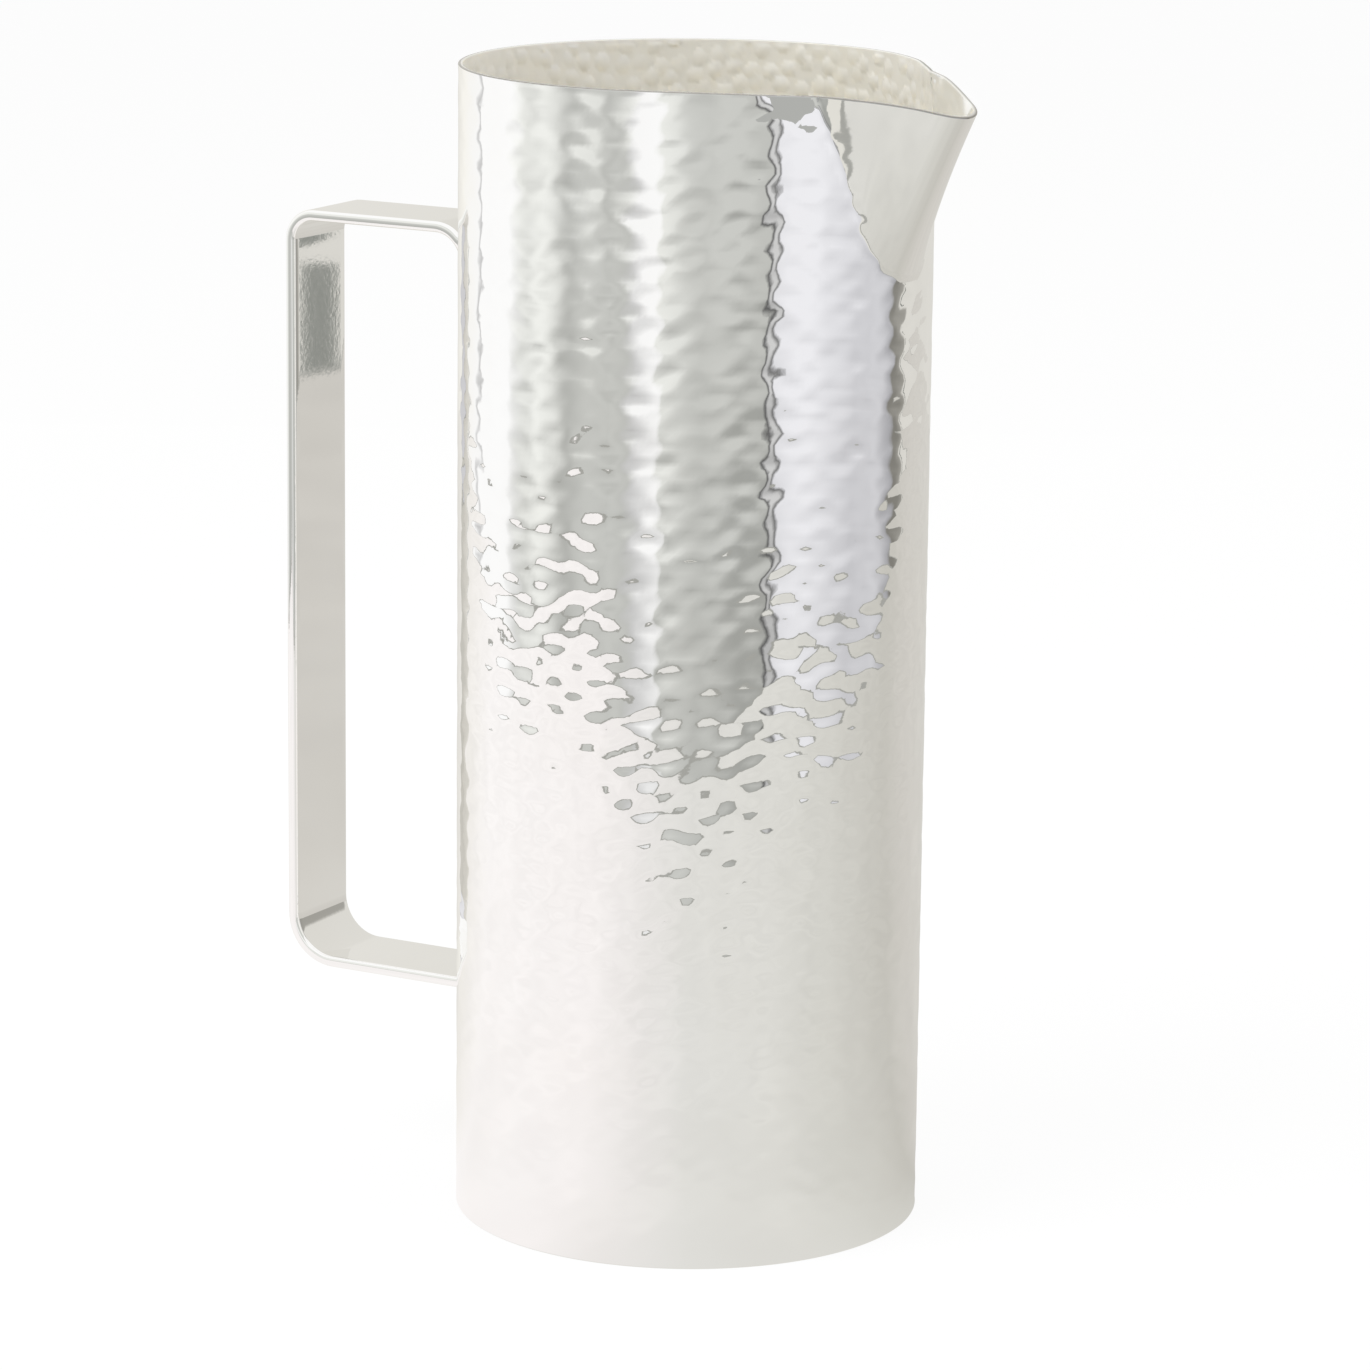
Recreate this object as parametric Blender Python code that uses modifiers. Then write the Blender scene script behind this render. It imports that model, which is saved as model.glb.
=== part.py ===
"""Hammered silver pitcher: a sheet cylinder with a set-in spout, a base disc and a bent strap handle.

Metres, +Z up. The origin is the middle of the base, on the table. The spout points along +X and the
handle along -X. The pieces are soldered together on the real object, so a solder gap parts them here.
"""

import math

import bmesh
import bpy
from mathutils import Matrix

# Body: a straight cylinder, measured outside
BODY_RADIUS = 0.050
BODY_HEIGHT = 0.247
SHEET = 0.001
SOLDER_GAP = 0.0003

# Base disc, set inside the wall and flush with its lower edge
BASE_THICKNESS = 0.0012

# Spout: a smooth beak that leans out from its seam and reaches past the wall at its tip
SPOUT_OVERHANG = 0.0138
SPOUT_NOSE_RADIUS = 0.0125
SPOUT_BELLY = 0.00055
LIP_DROP = 0.0068
LIP_CURVE = 4.0

# Seam between spout and wall, seen from the front: an arc at the root and two flanks that spread upwards
SEAM_BELOW_RIM = 0.041
SEAM_ROOT_RADIUS = 0.018
SEAM_FLANK_ANGLE = math.radians(20)

# Handle: one flat bar, bent to a square bow, with its upper end thinned and turned down on the wall
STRAP_WIDTH = 0.021
STRAP_THICKNESS = 0.0024
STRAP_EDGE_RADIUS = 0.0004
HANDLE_CLEARANCE = 0.0437
HANDLE_BELOW_RIM = 0.0363
HANDLE_ABOVE_BASE = 0.042
UPPER_CORNER_RADIUS = 0.0045
LOWER_CORNER_RADIUS = 0.0088
TAB_BEND_RADIUS = 0.006
TAB_THICKNESS = 0.0018
TAB_LENGTH = 0.018
TAB_FILLET_ANGLE = math.radians(30)

# Facets
FINE_STEP = 2.5
COARSE_STEP = 5.0
FINE_HALF_SPAN = 60.0
SPOUT_COLUMNS = 48
SPOUT_ROWS = 8
ARC_STEPS = 8
EDGE_STEPS = 2
ROUND_STEPS = 96
CUT_MARGIN = 0.01
SEAM_MARGIN = 0.003
SEAM_MARGIN_ANGLE = math.radians(1.2)
WELD_DISTANCE = 0.000001

# Worked out from the sizes above
SPOUT_REACH = BODY_RADIUS + SPOUT_OVERHANG
NOSE_CENTRE = SPOUT_REACH - SPOUT_NOSE_RADIUS
SEAM_CENTRE = BODY_HEIGHT - SEAM_BELOW_RIM + SEAM_ROOT_RADIUS
HANDLE_TOP = BODY_HEIGHT - HANDLE_BELOW_RIM
WALL_SEAT_RADIUS = BODY_RADIUS + SOLDER_GAP


def clear_scene():
    """Removes every object, so that the script starts from an empty scene."""
    for old in list(bpy.data.objects):
        bpy.data.objects.remove(old, do_unlink=True)


def new_collection(name):
    """A collection of that name in the scene."""
    made = bpy.data.collections.new(name)
    bpy.context.scene.collection.children.link(made)
    return made


def metal(name, colour, roughness):
    """A metal finish."""
    made = bpy.data.materials.new(name)
    made.use_nodes = True
    shader = made.node_tree.nodes["Principled BSDF"]
    shader.inputs["Base Color"].default_value = (*colour, 1.0)
    shader.inputs["Metallic"].default_value = 1.0
    shader.inputs["Roughness"].default_value = roughness
    return made


def add_object(name, mesh, collection, finish=None):
    """An object of that mesh, in the collection, with its finish."""
    made = bpy.data.objects.new(name, mesh)
    collection.objects.link(made)
    if finish is not None:
        mesh.materials.append(finish)
    return made


def add_boolean(target, cutter, operation, solver="EXACT"):
    """Cuts the target with the cutter, or keeps what lies inside it."""
    step = target.modifiers.new(operation.lower(), "BOOLEAN")
    step.operation = operation
    step.object = cutter
    step.solver = solver


def add_solidify(target):
    """Gives the skin the sheet's thickness, inwards."""
    step = target.modifiers.new("sheet", "SOLIDIFY")
    step.thickness = SHEET
    step.offset = -1.0
    step.use_even_offset = True
    step.use_rim = True


def make_cutter(made):
    """Marks an object as a cutter, which isn't part of the pitcher."""
    made.hide_render = True
    made.display_type = "WIRE"
    return made


def skin_angles():
    """Angles round the body, in radians, with finer steps across the spout."""
    fine_count = round(2 * FINE_HALF_SPAN / FINE_STEP)
    coarse_count = round((360 - 2 * FINE_HALF_SPAN) / COARSE_STEP)
    fine = [-FINE_HALF_SPAN + FINE_STEP * i for i in range(fine_count)]
    coarse = [FINE_HALF_SPAN + COARSE_STEP * i for i in range(coarse_count)]
    return [math.radians(a) for a in fine + coarse]


def rim_drop(forward):
    """How far the rim has fallen where it is that far forward."""
    return LIP_DROP * (max(forward, 0.0) / SPOUT_REACH) ** LIP_CURVE


def seam_end():
    """How far round from the middle of the spout its seam meets the rim."""
    across = SEAM_ROOT_RADIUS
    for _ in range(20):
        lip = BODY_HEIGHT - rim_drop(math.sqrt(BODY_RADIUS**2 - across**2))
        rise = (lip - SEAM_CENTRE) * math.sin(SEAM_FLANK_ANGLE)
        across = (SEAM_ROOT_RADIUS + rise) / math.cos(SEAM_FLANK_ANGLE)
    return math.asin(across / BODY_RADIUS)


def lip_radius(angle):
    """Distance from the axis to the rim: the body's circle, the spout's full sides and its round nose."""
    turn = abs(math.remainder(angle, 2 * math.pi))
    end = seam_end()
    if turn >= end:
        return BODY_RADIUS
    aside = BODY_RADIUS * math.cos(end) - NOSE_CENTRE
    across = BODY_RADIUS * math.sin(end)
    facing = math.atan2(across, aside) - math.acos(SPOUT_NOSE_RADIUS / math.hypot(aside, across))
    nose_end = math.atan2(
        SPOUT_NOSE_RADIUS * math.sin(facing), NOSE_CENTRE + SPOUT_NOSE_RADIUS * math.cos(facing)
    )
    if turn < nose_end:
        aside = NOSE_CENTRE * math.sin(turn)
        return NOSE_CENTRE * math.cos(turn) + math.sqrt(SPOUT_NOSE_RADIUS**2 - aside**2)
    share = (turn - nose_end) / (end - nose_end)
    straight = (NOSE_CENTRE * math.cos(facing) + SPOUT_NOSE_RADIUS) / math.cos(turn - facing)
    return straight + SPOUT_BELLY * 6.75 * share**2 * (1 - share)


def lip_height(angle):
    """Height of the rim, which falls towards the tip of the spout."""
    return BODY_HEIGHT - rim_drop(lip_radius(angle) * math.cos(angle))


def seam_height(angle):
    """Height of the seam on the body's cylinder."""
    across = BODY_RADIUS * math.sin(abs(angle))
    if across < SEAM_ROOT_RADIUS * math.cos(SEAM_FLANK_ANGLE):
        return SEAM_CENTRE - math.sqrt(SEAM_ROOT_RADIUS**2 - across**2)
    return SEAM_CENTRE + (across * math.cos(SEAM_FLANK_ANGLE) - SEAM_ROOT_RADIUS) / math.sin(SEAM_FLANK_ANGLE)


def spout_lean(angle):
    """How far the spout leans out for each metre up, which holds at the seam's end."""
    within = min(abs(angle), 0.98 * seam_end())
    return (lip_radius(within) - BODY_RADIUS) / (lip_height(within) - seam_height(within))


def grid_mesh(name, columns, closed):
    """An open surface from columns of points, each from the bottom up."""
    form = bmesh.new()
    made = [[form.verts.new(point) for point in column] for column in columns]
    for i in range(len(made) if closed else len(made) - 1):
        here, there = made[i], made[(i + 1) % len(made)]
        for k in range(len(here) - 1):
            form.faces.new((here[k], there[k], there[k + 1], here[k + 1]))
    mesh = bpy.data.meshes.new(name)
    form.to_mesh(mesh)
    form.free()
    return mesh


def wall_skin():
    """The outside of the cylinder, from the table to the rim."""
    columns = []
    for angle in skin_angles():
        x, y = BODY_RADIUS * math.cos(angle), BODY_RADIUS * math.sin(angle)
        columns.append([(x, y, 0), (x, y, lip_height(angle))])
    return grid_mesh("body_wall", columns, True)


def spout_skin():
    """The outside of the beak, from a little below the seam to the lip."""
    half_span = seam_end() + SEAM_MARGIN_ANGLE
    columns = []
    for i in range(SPOUT_COLUMNS + 1):
        angle = half_span * (2 * i / SPOUT_COLUMNS - 1)
        low = seam_height(angle) - SEAM_MARGIN
        column = []
        for k in range(SPOUT_ROWS + 1):
            height = low + (lip_height(angle) - low) * k / SPOUT_ROWS
            radius = BODY_RADIUS + spout_lean(angle) * (height - seam_height(angle))
            column.append((radius * math.cos(angle), radius * math.sin(angle), height))
        columns.append(column)
    return grid_mesh("spout", columns, False)


def arc(centre, radius, start, end):
    """Points on an arc in the X-Z plane, with both ends."""
    turns = [start + (end - start) * i / ARC_STEPS for i in range(ARC_STEPS + 1)]
    return [(centre[0] + radius * math.cos(a), centre[1] + radius * math.sin(a)) for a in turns]


def flat_solid(name, points, width):
    """A flat outline in the X-Z plane, as a solid of that width, centred on Y = 0."""
    outline = bpy.data.curves.new(name, "CURVE")
    outline.dimensions = "2D"
    outline.fill_mode = "BOTH"
    outline.extrude = width / 2
    spline = outline.splines.new("POLY")
    spline.points.add(len(points) - 1)
    for point, (x, z) in zip(spline.points, points):
        point.co = (x, z, 0, 1)
    spline.use_cyclic_u = True
    drawn = bpy.data.objects.new(name, outline)
    bpy.context.scene.collection.objects.link(drawn)
    drawn.matrix_world = Matrix.Rotation(math.pi / 2, 4, "X")
    bpy.context.view_layer.update()
    mesh = bpy.data.meshes.new_from_object(drawn.evaluated_get(bpy.context.evaluated_depsgraph_get()))
    mesh.transform(drawn.matrix_world)
    bpy.data.objects.remove(drawn)
    form = bmesh.new()
    form.from_mesh(mesh)
    bmesh.ops.remove_doubles(form, verts=form.verts, dist=WELD_DISTANCE)
    bmesh.ops.recalc_face_normals(form, faces=form.faces)
    form.to_mesh(mesh)
    form.free()
    return mesh


def seam_cutter(name, spread, collection):
    """A block with the seam's outline, which covers the spout's side of the body."""
    radius = SEAM_ROOT_RADIUS + spread
    top = BODY_HEIGHT + CUT_MARGIN
    flank = SEAM_FLANK_ANGLE
    half_top = (radius + (top - SEAM_CENTRE) * math.sin(flank)) / math.cos(flank)
    root = arc((0, SEAM_CENTRE), radius, math.pi + flank, 2 * math.pi - flank)
    mesh = flat_solid(name, [*root, (half_top, top), (-half_top, top)], SPOUT_REACH + CUT_MARGIN)
    mesh.transform(Matrix.Rotation(math.pi / 2, 4, "Z"))
    mesh.transform(Matrix.Translation(((SPOUT_REACH + CUT_MARGIN) / 2, 0, 0)))
    return make_cutter(add_object(name, mesh, collection))


def make_wall(collection, cutters):
    """The hammered sheet cylinder, with the notch that takes the spout."""
    finish = metal("hammered_silver", (0.86, 0.85, 0.82), 0.12)
    wall = add_object("body_wall", wall_skin(), collection, finish)
    add_solidify(wall)
    add_boolean(wall, seam_cutter("wall_notch", SOLDER_GAP, cutters), "DIFFERENCE")
    wall.data.shade_smooth()
    return wall


def make_spout(collection, cutters):
    """The smooth beak, let into the notch in the wall."""
    finish = metal("smooth_silver", (0.87, 0.86, 0.83), 0.08)
    spout = add_object("spout", spout_skin(), collection, finish)
    add_solidify(spout)
    add_boolean(spout, seam_cutter("spout_outline", 0.0, cutters), "INTERSECT")
    spout.data.shade_smooth()
    return spout


def make_base(collection):
    """The flat bottom, a disc that fits inside the wall."""
    form = bmesh.new()
    radius = BODY_RADIUS - SHEET - SOLDER_GAP
    lift = Matrix.Translation((0, 0, BASE_THICKNESS / 2))
    bmesh.ops.create_cone(
        form,
        cap_ends=True,
        segments=ROUND_STEPS,
        radius1=radius,
        radius2=radius,
        depth=BASE_THICKNESS,
        matrix=lift,
    )
    mesh = bpy.data.meshes.new("base_disc")
    form.to_mesh(mesh)
    form.free()
    return add_object("base_disc", mesh, collection, metal("base_silver", (0.84, 0.83, 0.80), 0.2))


def handle_outline():
    """The bent bar seen from the side, from the foot of its tab round the bow to its lower end."""
    bar = STRAP_THICKNESS
    tab_face = -(WALL_SEAT_RADIUS + TAB_THICKNESS)
    grip_face = -(BODY_RADIUS + HANDLE_CLEARANCE)
    bed = -math.sqrt(BODY_RADIUS**2 - (STRAP_WIDTH / 2) ** 2)
    bend = (tab_face - TAB_BEND_RADIUS, HANDLE_TOP - bar - TAB_BEND_RADIUS)
    upper = (grip_face + UPPER_CORNER_RADIUS, HANDLE_TOP - bar - UPPER_CORNER_RADIUS)
    lower = (grip_face + LOWER_CORNER_RADIUS, HANDLE_ABOVE_BASE + bar + LOWER_CORNER_RADIUS)
    quarter = math.pi / 2
    inside = [(tab_face, bend[1] - TAB_LENGTH)]
    inside += arc(bend, TAB_BEND_RADIUS, 0, quarter)
    inside += arc(upper, UPPER_CORNER_RADIUS, quarter, 2 * quarter)
    inside += arc(lower, LOWER_CORNER_RADIUS, 2 * quarter, 3 * quarter)
    inside += [(bed, HANDLE_ABOVE_BASE + bar)]
    outside = [(bed, HANDLE_ABOVE_BASE)]
    outside += arc(lower, LOWER_CORNER_RADIUS + bar, 3 * quarter, 2 * quarter)
    outside += arc(upper, UPPER_CORNER_RADIUS + bar, 2 * quarter, quarter)
    outside += arc(bend, TAB_BEND_RADIUS + bar, quarter, TAB_FILLET_ANGLE)
    outside += [(bed, outside[-1][1]), (bed, bend[1] - TAB_LENGTH)]
    return inside + outside


def make_handle(collection, cutters):
    """The strap, bedded on the wall at its tab and cut to the wall's curve at its lower end."""
    mesh = flat_solid("handle", handle_outline(), STRAP_WIDTH)
    handle = add_object("handle", mesh, collection, metal("polished_strap", (0.88, 0.87, 0.84), 0.06))
    edge = handle.modifiers.new("edge", "BEVEL")
    edge.width = STRAP_EDGE_RADIUS
    edge.segments = EDGE_STEPS
    edge.limit_method = "ANGLE"
    edge.angle_limit = math.radians(40)
    form = bmesh.new()
    bmesh.ops.create_cone(
        form,
        cap_ends=True,
        segments=ROUND_STEPS,
        radius1=WALL_SEAT_RADIUS,
        radius2=WALL_SEAT_RADIUS,
        depth=BODY_HEIGHT,
        matrix=Matrix.Translation((0, 0, BODY_HEIGHT / 2)),
    )
    seat = bpy.data.meshes.new("wall_seat")
    form.to_mesh(seat)
    form.free()
    # The exact solver loses this cut after the rounded edges, and both meshes are closed
    add_boolean(handle, make_cutter(add_object("wall_seat", seat, cutters)), "DIFFERENCE", "MANIFOLD")
    handle.data.shade_smooth()
    return handle


def main():
    clear_scene()
    pitcher = new_collection("pitcher")
    cutters = new_collection("cutters")
    make_wall(pitcher, cutters)
    make_spout(pitcher, cutters)
    make_base(pitcher)
    make_handle(pitcher, cutters)


main()
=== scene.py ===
"""Looks of the hammered silver pitcher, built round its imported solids.

Metres, +Z up, in the solids' own frame: the origin is the middle of the base, on the table. The spout
points along +X and the handle along -X.
"""

import math

import bmesh
import bpy
import numpy as np
from mathutils import Matrix, Vector


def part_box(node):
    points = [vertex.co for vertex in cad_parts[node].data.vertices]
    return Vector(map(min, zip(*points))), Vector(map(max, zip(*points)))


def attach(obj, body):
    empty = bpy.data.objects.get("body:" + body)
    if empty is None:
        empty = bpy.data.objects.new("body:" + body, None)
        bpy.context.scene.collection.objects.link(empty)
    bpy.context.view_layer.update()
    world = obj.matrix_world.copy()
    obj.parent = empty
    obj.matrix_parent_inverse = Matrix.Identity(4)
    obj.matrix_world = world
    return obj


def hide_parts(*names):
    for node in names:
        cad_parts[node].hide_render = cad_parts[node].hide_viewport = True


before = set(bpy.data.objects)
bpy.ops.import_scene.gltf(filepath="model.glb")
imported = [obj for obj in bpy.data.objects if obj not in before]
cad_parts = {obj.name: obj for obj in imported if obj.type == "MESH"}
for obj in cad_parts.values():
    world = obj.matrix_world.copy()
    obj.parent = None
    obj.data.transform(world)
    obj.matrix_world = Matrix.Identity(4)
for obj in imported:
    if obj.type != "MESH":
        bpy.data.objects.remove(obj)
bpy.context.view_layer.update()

# Sizes read from the solids
BODY_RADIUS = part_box("body_wall")[1][1]
BODY_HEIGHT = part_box("body_wall")[1][2]
SPOUT_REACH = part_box("spout")[1][0]
BASE_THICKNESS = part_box("base_disc")[1][2]
GRIP_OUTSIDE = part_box("handle")[0][0]
HANDLE_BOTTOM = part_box("handle")[0][2]
HANDLE_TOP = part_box("handle")[1][2]
STRAP_WIDTH = 2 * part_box("handle")[1][1]

# Sizes that the solids share with this script
SHEET = 0.001
SPOUT_NOSE_RADIUS = 0.0125
SPOUT_BELLY = 0.00055
LIP_DROP = 0.0068
LIP_CURVE = 4.0
SEAM_BELOW_RIM = 0.041
SEAM_ROOT_RADIUS = 0.018
SEAM_FLANK_ANGLE = math.radians(20)
STRAP_THICKNESS = 0.0024
UPPER_CORNER_RADIUS = 0.0045
LOWER_CORNER_RADIUS = 0.0088
TAB_BEND_RADIUS = 0.006
TAB_PROUD = 0.0021
TAB_LENGTH = 0.018

# Edges and blends that are finer than the solids
RIM_ROUND = 0.00025
FOOT_ROUND = 0.0005
LIP_CREASE = 0.0009
FLARE_CREASE = 0.0011
FLARE_CREASE_GROWTH = 2
FLARE_END = 0.98
FLARE_STRAIGHT = 0.8
RIM_TUCK = 0.0006
RIM_TUCK_DEPTH = 0.0075
RIM_TUCK_RISE = (-0.12, 0.02)
RIM_TUCK_FALL = (-0.3, -0.12)
STRAP_ROUND = 0.0009
TAB_END_ROUND = 0.0006
TAB_CORNER = 0.003
TAB_ROUND_LEFT = 0.1
BEND_SEATED = (math.radians(-42), math.radians(-24))
BEND_LEAST_LEAN = 0.2
SOLDER_FILLET = 0.0008
FILLET_RINGS = (0, 0.12, 0.3, 0.6, 1.0, 2.5, 5.0)
DISC_FILLET = 0.0012
DISC_DISH = 0.0003
DISH_PROFILE = ((0, 1), (0.5, 0.8), (0.9, 0.15))
DISC_RING = 0.5

# Where a painted dark line of shade runs, by the climb: round the rim, and fainter round the foot as a
# painted contact shadow
RIM_SHADE_CLIMBS = (1, 1.5)
FOOT_SHADOW_CLIMBS = (0.3, 1)
FOOT_SHADOW_SHARE = 0.4

# Hammer marks
MARK_DEPTH = 0.00017
BUMP_HEIGHT = 0.00045
RIM_FADE = 0.0015
SEAM_FADE = (-0.0035, 0.002)
COURSE_DRIFT = 0.0016
COURSE_WAVES = ((1.0, 3, 0.6), (0.5, 5, 2.2))
SPARE_COURSES = 3

# Mesh steps
WALL_COLUMNS = 248
WALL_ROWS = 204
LINING_COLUMNS = 230
LINING_ROWS = 64
LINING_FINE_FROM = 0.82
LINING_FINE_ROWS = 64
SPOUT_HALF_SPAN = math.radians(36)
SPOUT_COLUMNS = 140
SPOUT_ROWS = 80
SPOUT_FROM = 0.80
EDGE_STEPS = 4
STRAP_CORNER_STEPS = 5
STRAP_FACE_STEPS = 14
ARM_STEPS = 10
LOWER_CORNER_STEPS = 14
GRIP_STEPS = 48
UPPER_CORNER_STEPS = 12
BEND_STEPS = 18
TAB_STEPS = 6
TAB_END_STEPS = 8
SHADING_WEIGHT = 80

# For what is worked out by small steps or by trying
NUDGE = 0.00002
SEAM_END_TRIES = 20
HALVINGS = 24

# The photograph's camera, about the body's axis
CAMERA_AZIMUTH = math.radians(-61)
CAMERA_DISTANCE = 1.1891
CAMERA_HEIGHT = 0.3814
CAMERA_YAW = math.radians(-0.062)
CAMERA_PITCH = math.radians(-12.661)
CAMERA_ROLL = math.radians(0.611)
CAMERA_LENS = 149.9
CAMERA_NEAR = 0.01

# Brings the curve of the spout's belly to a peak of 1
BELLY_SCALE = 27 / 4

# Places that follow from these sizes
NOSE_CENTRE = SPOUT_REACH - SPOUT_NOSE_RADIUS
SEAM_CENTRE = BODY_HEIGHT - SEAM_BELOW_RIM + SEAM_ROOT_RADIUS
GRIP_INSIDE = GRIP_OUTSIDE + STRAP_THICKNESS
TAB_FACE = -(BODY_RADIUS + TAB_PROUD)


def add_piece(name, mesh):
    """An object of that mesh, in the scene."""
    made = bpy.data.objects.new(name, mesh)
    bpy.context.scene.collection.objects.link(made)
    return made


def smooth_piece(name, form):
    """A smooth-shaded piece of that form."""
    bmesh.ops.recalc_face_normals(form, faces=form.faces)
    mesh = bpy.data.meshes.new(name)
    form.to_mesh(mesh)
    form.free()
    mesh.shade_smooth()
    return add_piece(name, mesh)


def toward(azimuth):
    """A level direction, in degrees to the right of the way to the camera."""
    turn = CAMERA_AZIMUTH + math.radians(azimuth)
    return Vector((math.cos(turn), math.sin(turn), 0))


def smooth_step(low, high, value):
    """0 below low, 1 above high, and a smooth climb between them."""
    share = np.clip((value - low) / (high - low), 0, 1)
    return share * share * (3 - 2 * share)


# Camera
def make_camera():
    """The photograph's viewpoint."""
    ahead = -toward(0)
    right = toward(90)
    forward = ahead * math.cos(CAMERA_YAW) + right * math.sin(CAMERA_YAW)
    forward = forward * math.cos(CAMERA_PITCH) + Vector((0, 0, math.sin(CAMERA_PITCH)))
    level = right * math.cos(CAMERA_YAW) - ahead * math.sin(CAMERA_YAW)
    upward = level.cross(forward)
    side = level * math.cos(CAMERA_ROLL) + upward * math.sin(CAMERA_ROLL)
    top = upward * math.cos(CAMERA_ROLL) - level * math.sin(CAMERA_ROLL)
    lens = bpy.data.cameras.new("camera")
    lens.lens = CAMERA_LENS
    lens.clip_start = CAMERA_NEAR
    camera = bpy.data.objects.new("camera", lens)
    camera.matrix_world = Matrix((side, top, -forward)).transposed().to_4x4()
    camera.location = toward(0) * CAMERA_DISTANCE + Vector((0, 0, CAMERA_HEIGHT))
    bpy.context.scene.collection.objects.link(camera)
    bpy.context.scene.camera = camera


# The vessel's skin, as arrays of points
def rim_drop(forward):
    """How far the rim has fallen where it is that far forward."""
    return LIP_DROP * (np.maximum(forward, 0) / SPOUT_REACH) ** LIP_CURVE


def seam_end():
    """How far round from the spout's middle the seam meets the rim."""
    across = SEAM_ROOT_RADIUS
    for _ in range(SEAM_END_TRIES):
        lip = BODY_HEIGHT - rim_drop(math.sqrt(BODY_RADIUS**2 - across**2))
        rise = (lip - SEAM_CENTRE) * math.sin(SEAM_FLANK_ANGLE)
        across = (SEAM_ROOT_RADIUS + rise) / math.cos(SEAM_FLANK_ANGLE)
    return math.asin(across / BODY_RADIUS)


SEAM_END = seam_end()


def lip_radius(turn):
    """Distance from the axis to the rim: the body's circle, the spout's full sides and its nose."""
    turn = np.abs(turn)
    aside = BODY_RADIUS * math.cos(SEAM_END) - NOSE_CENTRE
    across = BODY_RADIUS * math.sin(SEAM_END)
    facing = math.atan2(across, aside) - math.acos(SPOUT_NOSE_RADIUS / math.hypot(aside, across))
    nose_end = math.atan2(
        SPOUT_NOSE_RADIUS * math.sin(facing), NOSE_CENTRE + SPOUT_NOSE_RADIUS * math.cos(facing)
    )
    nose = np.sqrt(np.maximum(SPOUT_NOSE_RADIUS**2 - (NOSE_CENTRE * np.sin(turn)) ** 2, 0))
    side = (NOSE_CENTRE * math.cos(facing) + SPOUT_NOSE_RADIUS) / np.cos(np.minimum(turn, facing) - facing)
    share = np.clip((turn - nose_end) / (SEAM_END - nose_end), 0, 1)
    belly = SPOUT_BELLY * BELLY_SCALE * share**2 * (1 - share)
    out = side + belly - BODY_RADIUS
    eased = np.clip(out + LIP_CREASE, 0, None) ** 2 / (4 * LIP_CREASE)
    side = BODY_RADIUS + np.where(out < LIP_CREASE, eased, out)
    return np.where(turn < nose_end, NOSE_CENTRE * np.cos(turn) + nose, side)


def lip_height(turn):
    """Height of the rim, which falls towards the spout's tip."""
    return BODY_HEIGHT - rim_drop(lip_radius(turn) * np.cos(turn))


def seam_height(turn):
    """Height of the seam on the body's cylinder."""
    across = BODY_RADIUS * np.sin(np.minimum(np.abs(turn), math.pi / 2))
    on_arc = SEAM_CENTRE - np.sqrt(np.maximum(SEAM_ROOT_RADIUS**2 - across**2, 0))
    on_flank = across * math.cos(SEAM_FLANK_ANGLE) - SEAM_ROOT_RADIUS
    on_flank = SEAM_CENTRE + on_flank / math.sin(SEAM_FLANK_ANGLE)
    return np.where(across < SEAM_ROOT_RADIUS * math.cos(SEAM_FLANK_ANGLE), on_arc, on_flank)


def tuck(turn, height):
    """How far the rim beside the spout was drawn in when the spout was drawn out."""
    beside = smooth_step(*RIM_TUCK_RISE, turn - SEAM_END) * smooth_step(*RIM_TUCK_FALL, SEAM_END - turn)
    return RIM_TUCK * beside * np.clip(1 - (lip_height(turn) - height) / RIM_TUCK_DEPTH, 0, None) ** 2


def skin(turn, height):
    """Points on the smooth outside: an upright wall, and a spout that bends out of it at the seam."""
    turn = (turn + math.pi) % (2 * math.pi) - math.pi
    within = np.minimum(np.abs(turn), FLARE_END * SEAM_END)
    crease = FLARE_CREASE * (1 + FLARE_CREASE_GROWTH * within / SEAM_END)
    above = height - seam_height(turn)
    eased = np.clip(above + crease, 0, None) ** 2 / (4 * crease)
    share = np.where(above < crease, eased, above) / (lip_height(within) - seam_height(within))
    flare = FLARE_STRAIGHT * share + (1 - FLARE_STRAIGHT) * share**2
    radius = BODY_RADIUS + (lip_radius(within) - BODY_RADIUS) * flare - tuck(np.abs(turn), height)
    return np.stack((radius * np.cos(turn), radius * np.sin(turn), height), axis=-1)


def unit(vectors):
    """Vectors of length 1."""
    return vectors / np.linalg.norm(vectors, axis=-1, keepdims=True)


def skin_normal(turn, height):
    """Outward directions on the smooth outside."""
    step_round = NUDGE / BODY_RADIUS
    along = skin(turn + step_round, height) - skin(turn - step_round, height)
    upward = skin(turn, height + NUDGE) - skin(turn, height - NUDGE)
    return unit(np.cross(along, upward))


def seam_distance(points):
    """Distance outside the spout's seam, seen from the front, and negative on the spout."""
    across = np.abs(points[..., 1])
    above = points[..., 2] - SEAM_CENTRE
    slant = math.sin(SEAM_FLANK_ANGLE)
    upright = math.cos(SEAM_FLANK_ANGLE)
    on_flank = across * upright - above * slant
    on_arc = np.hypot(across, above)
    distance = np.where(across * slant + above * upright > 0, on_flank, on_arc) - SEAM_ROOT_RADIUS
    return np.where(points[..., 0] > 0, distance, BODY_RADIUS)


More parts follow.
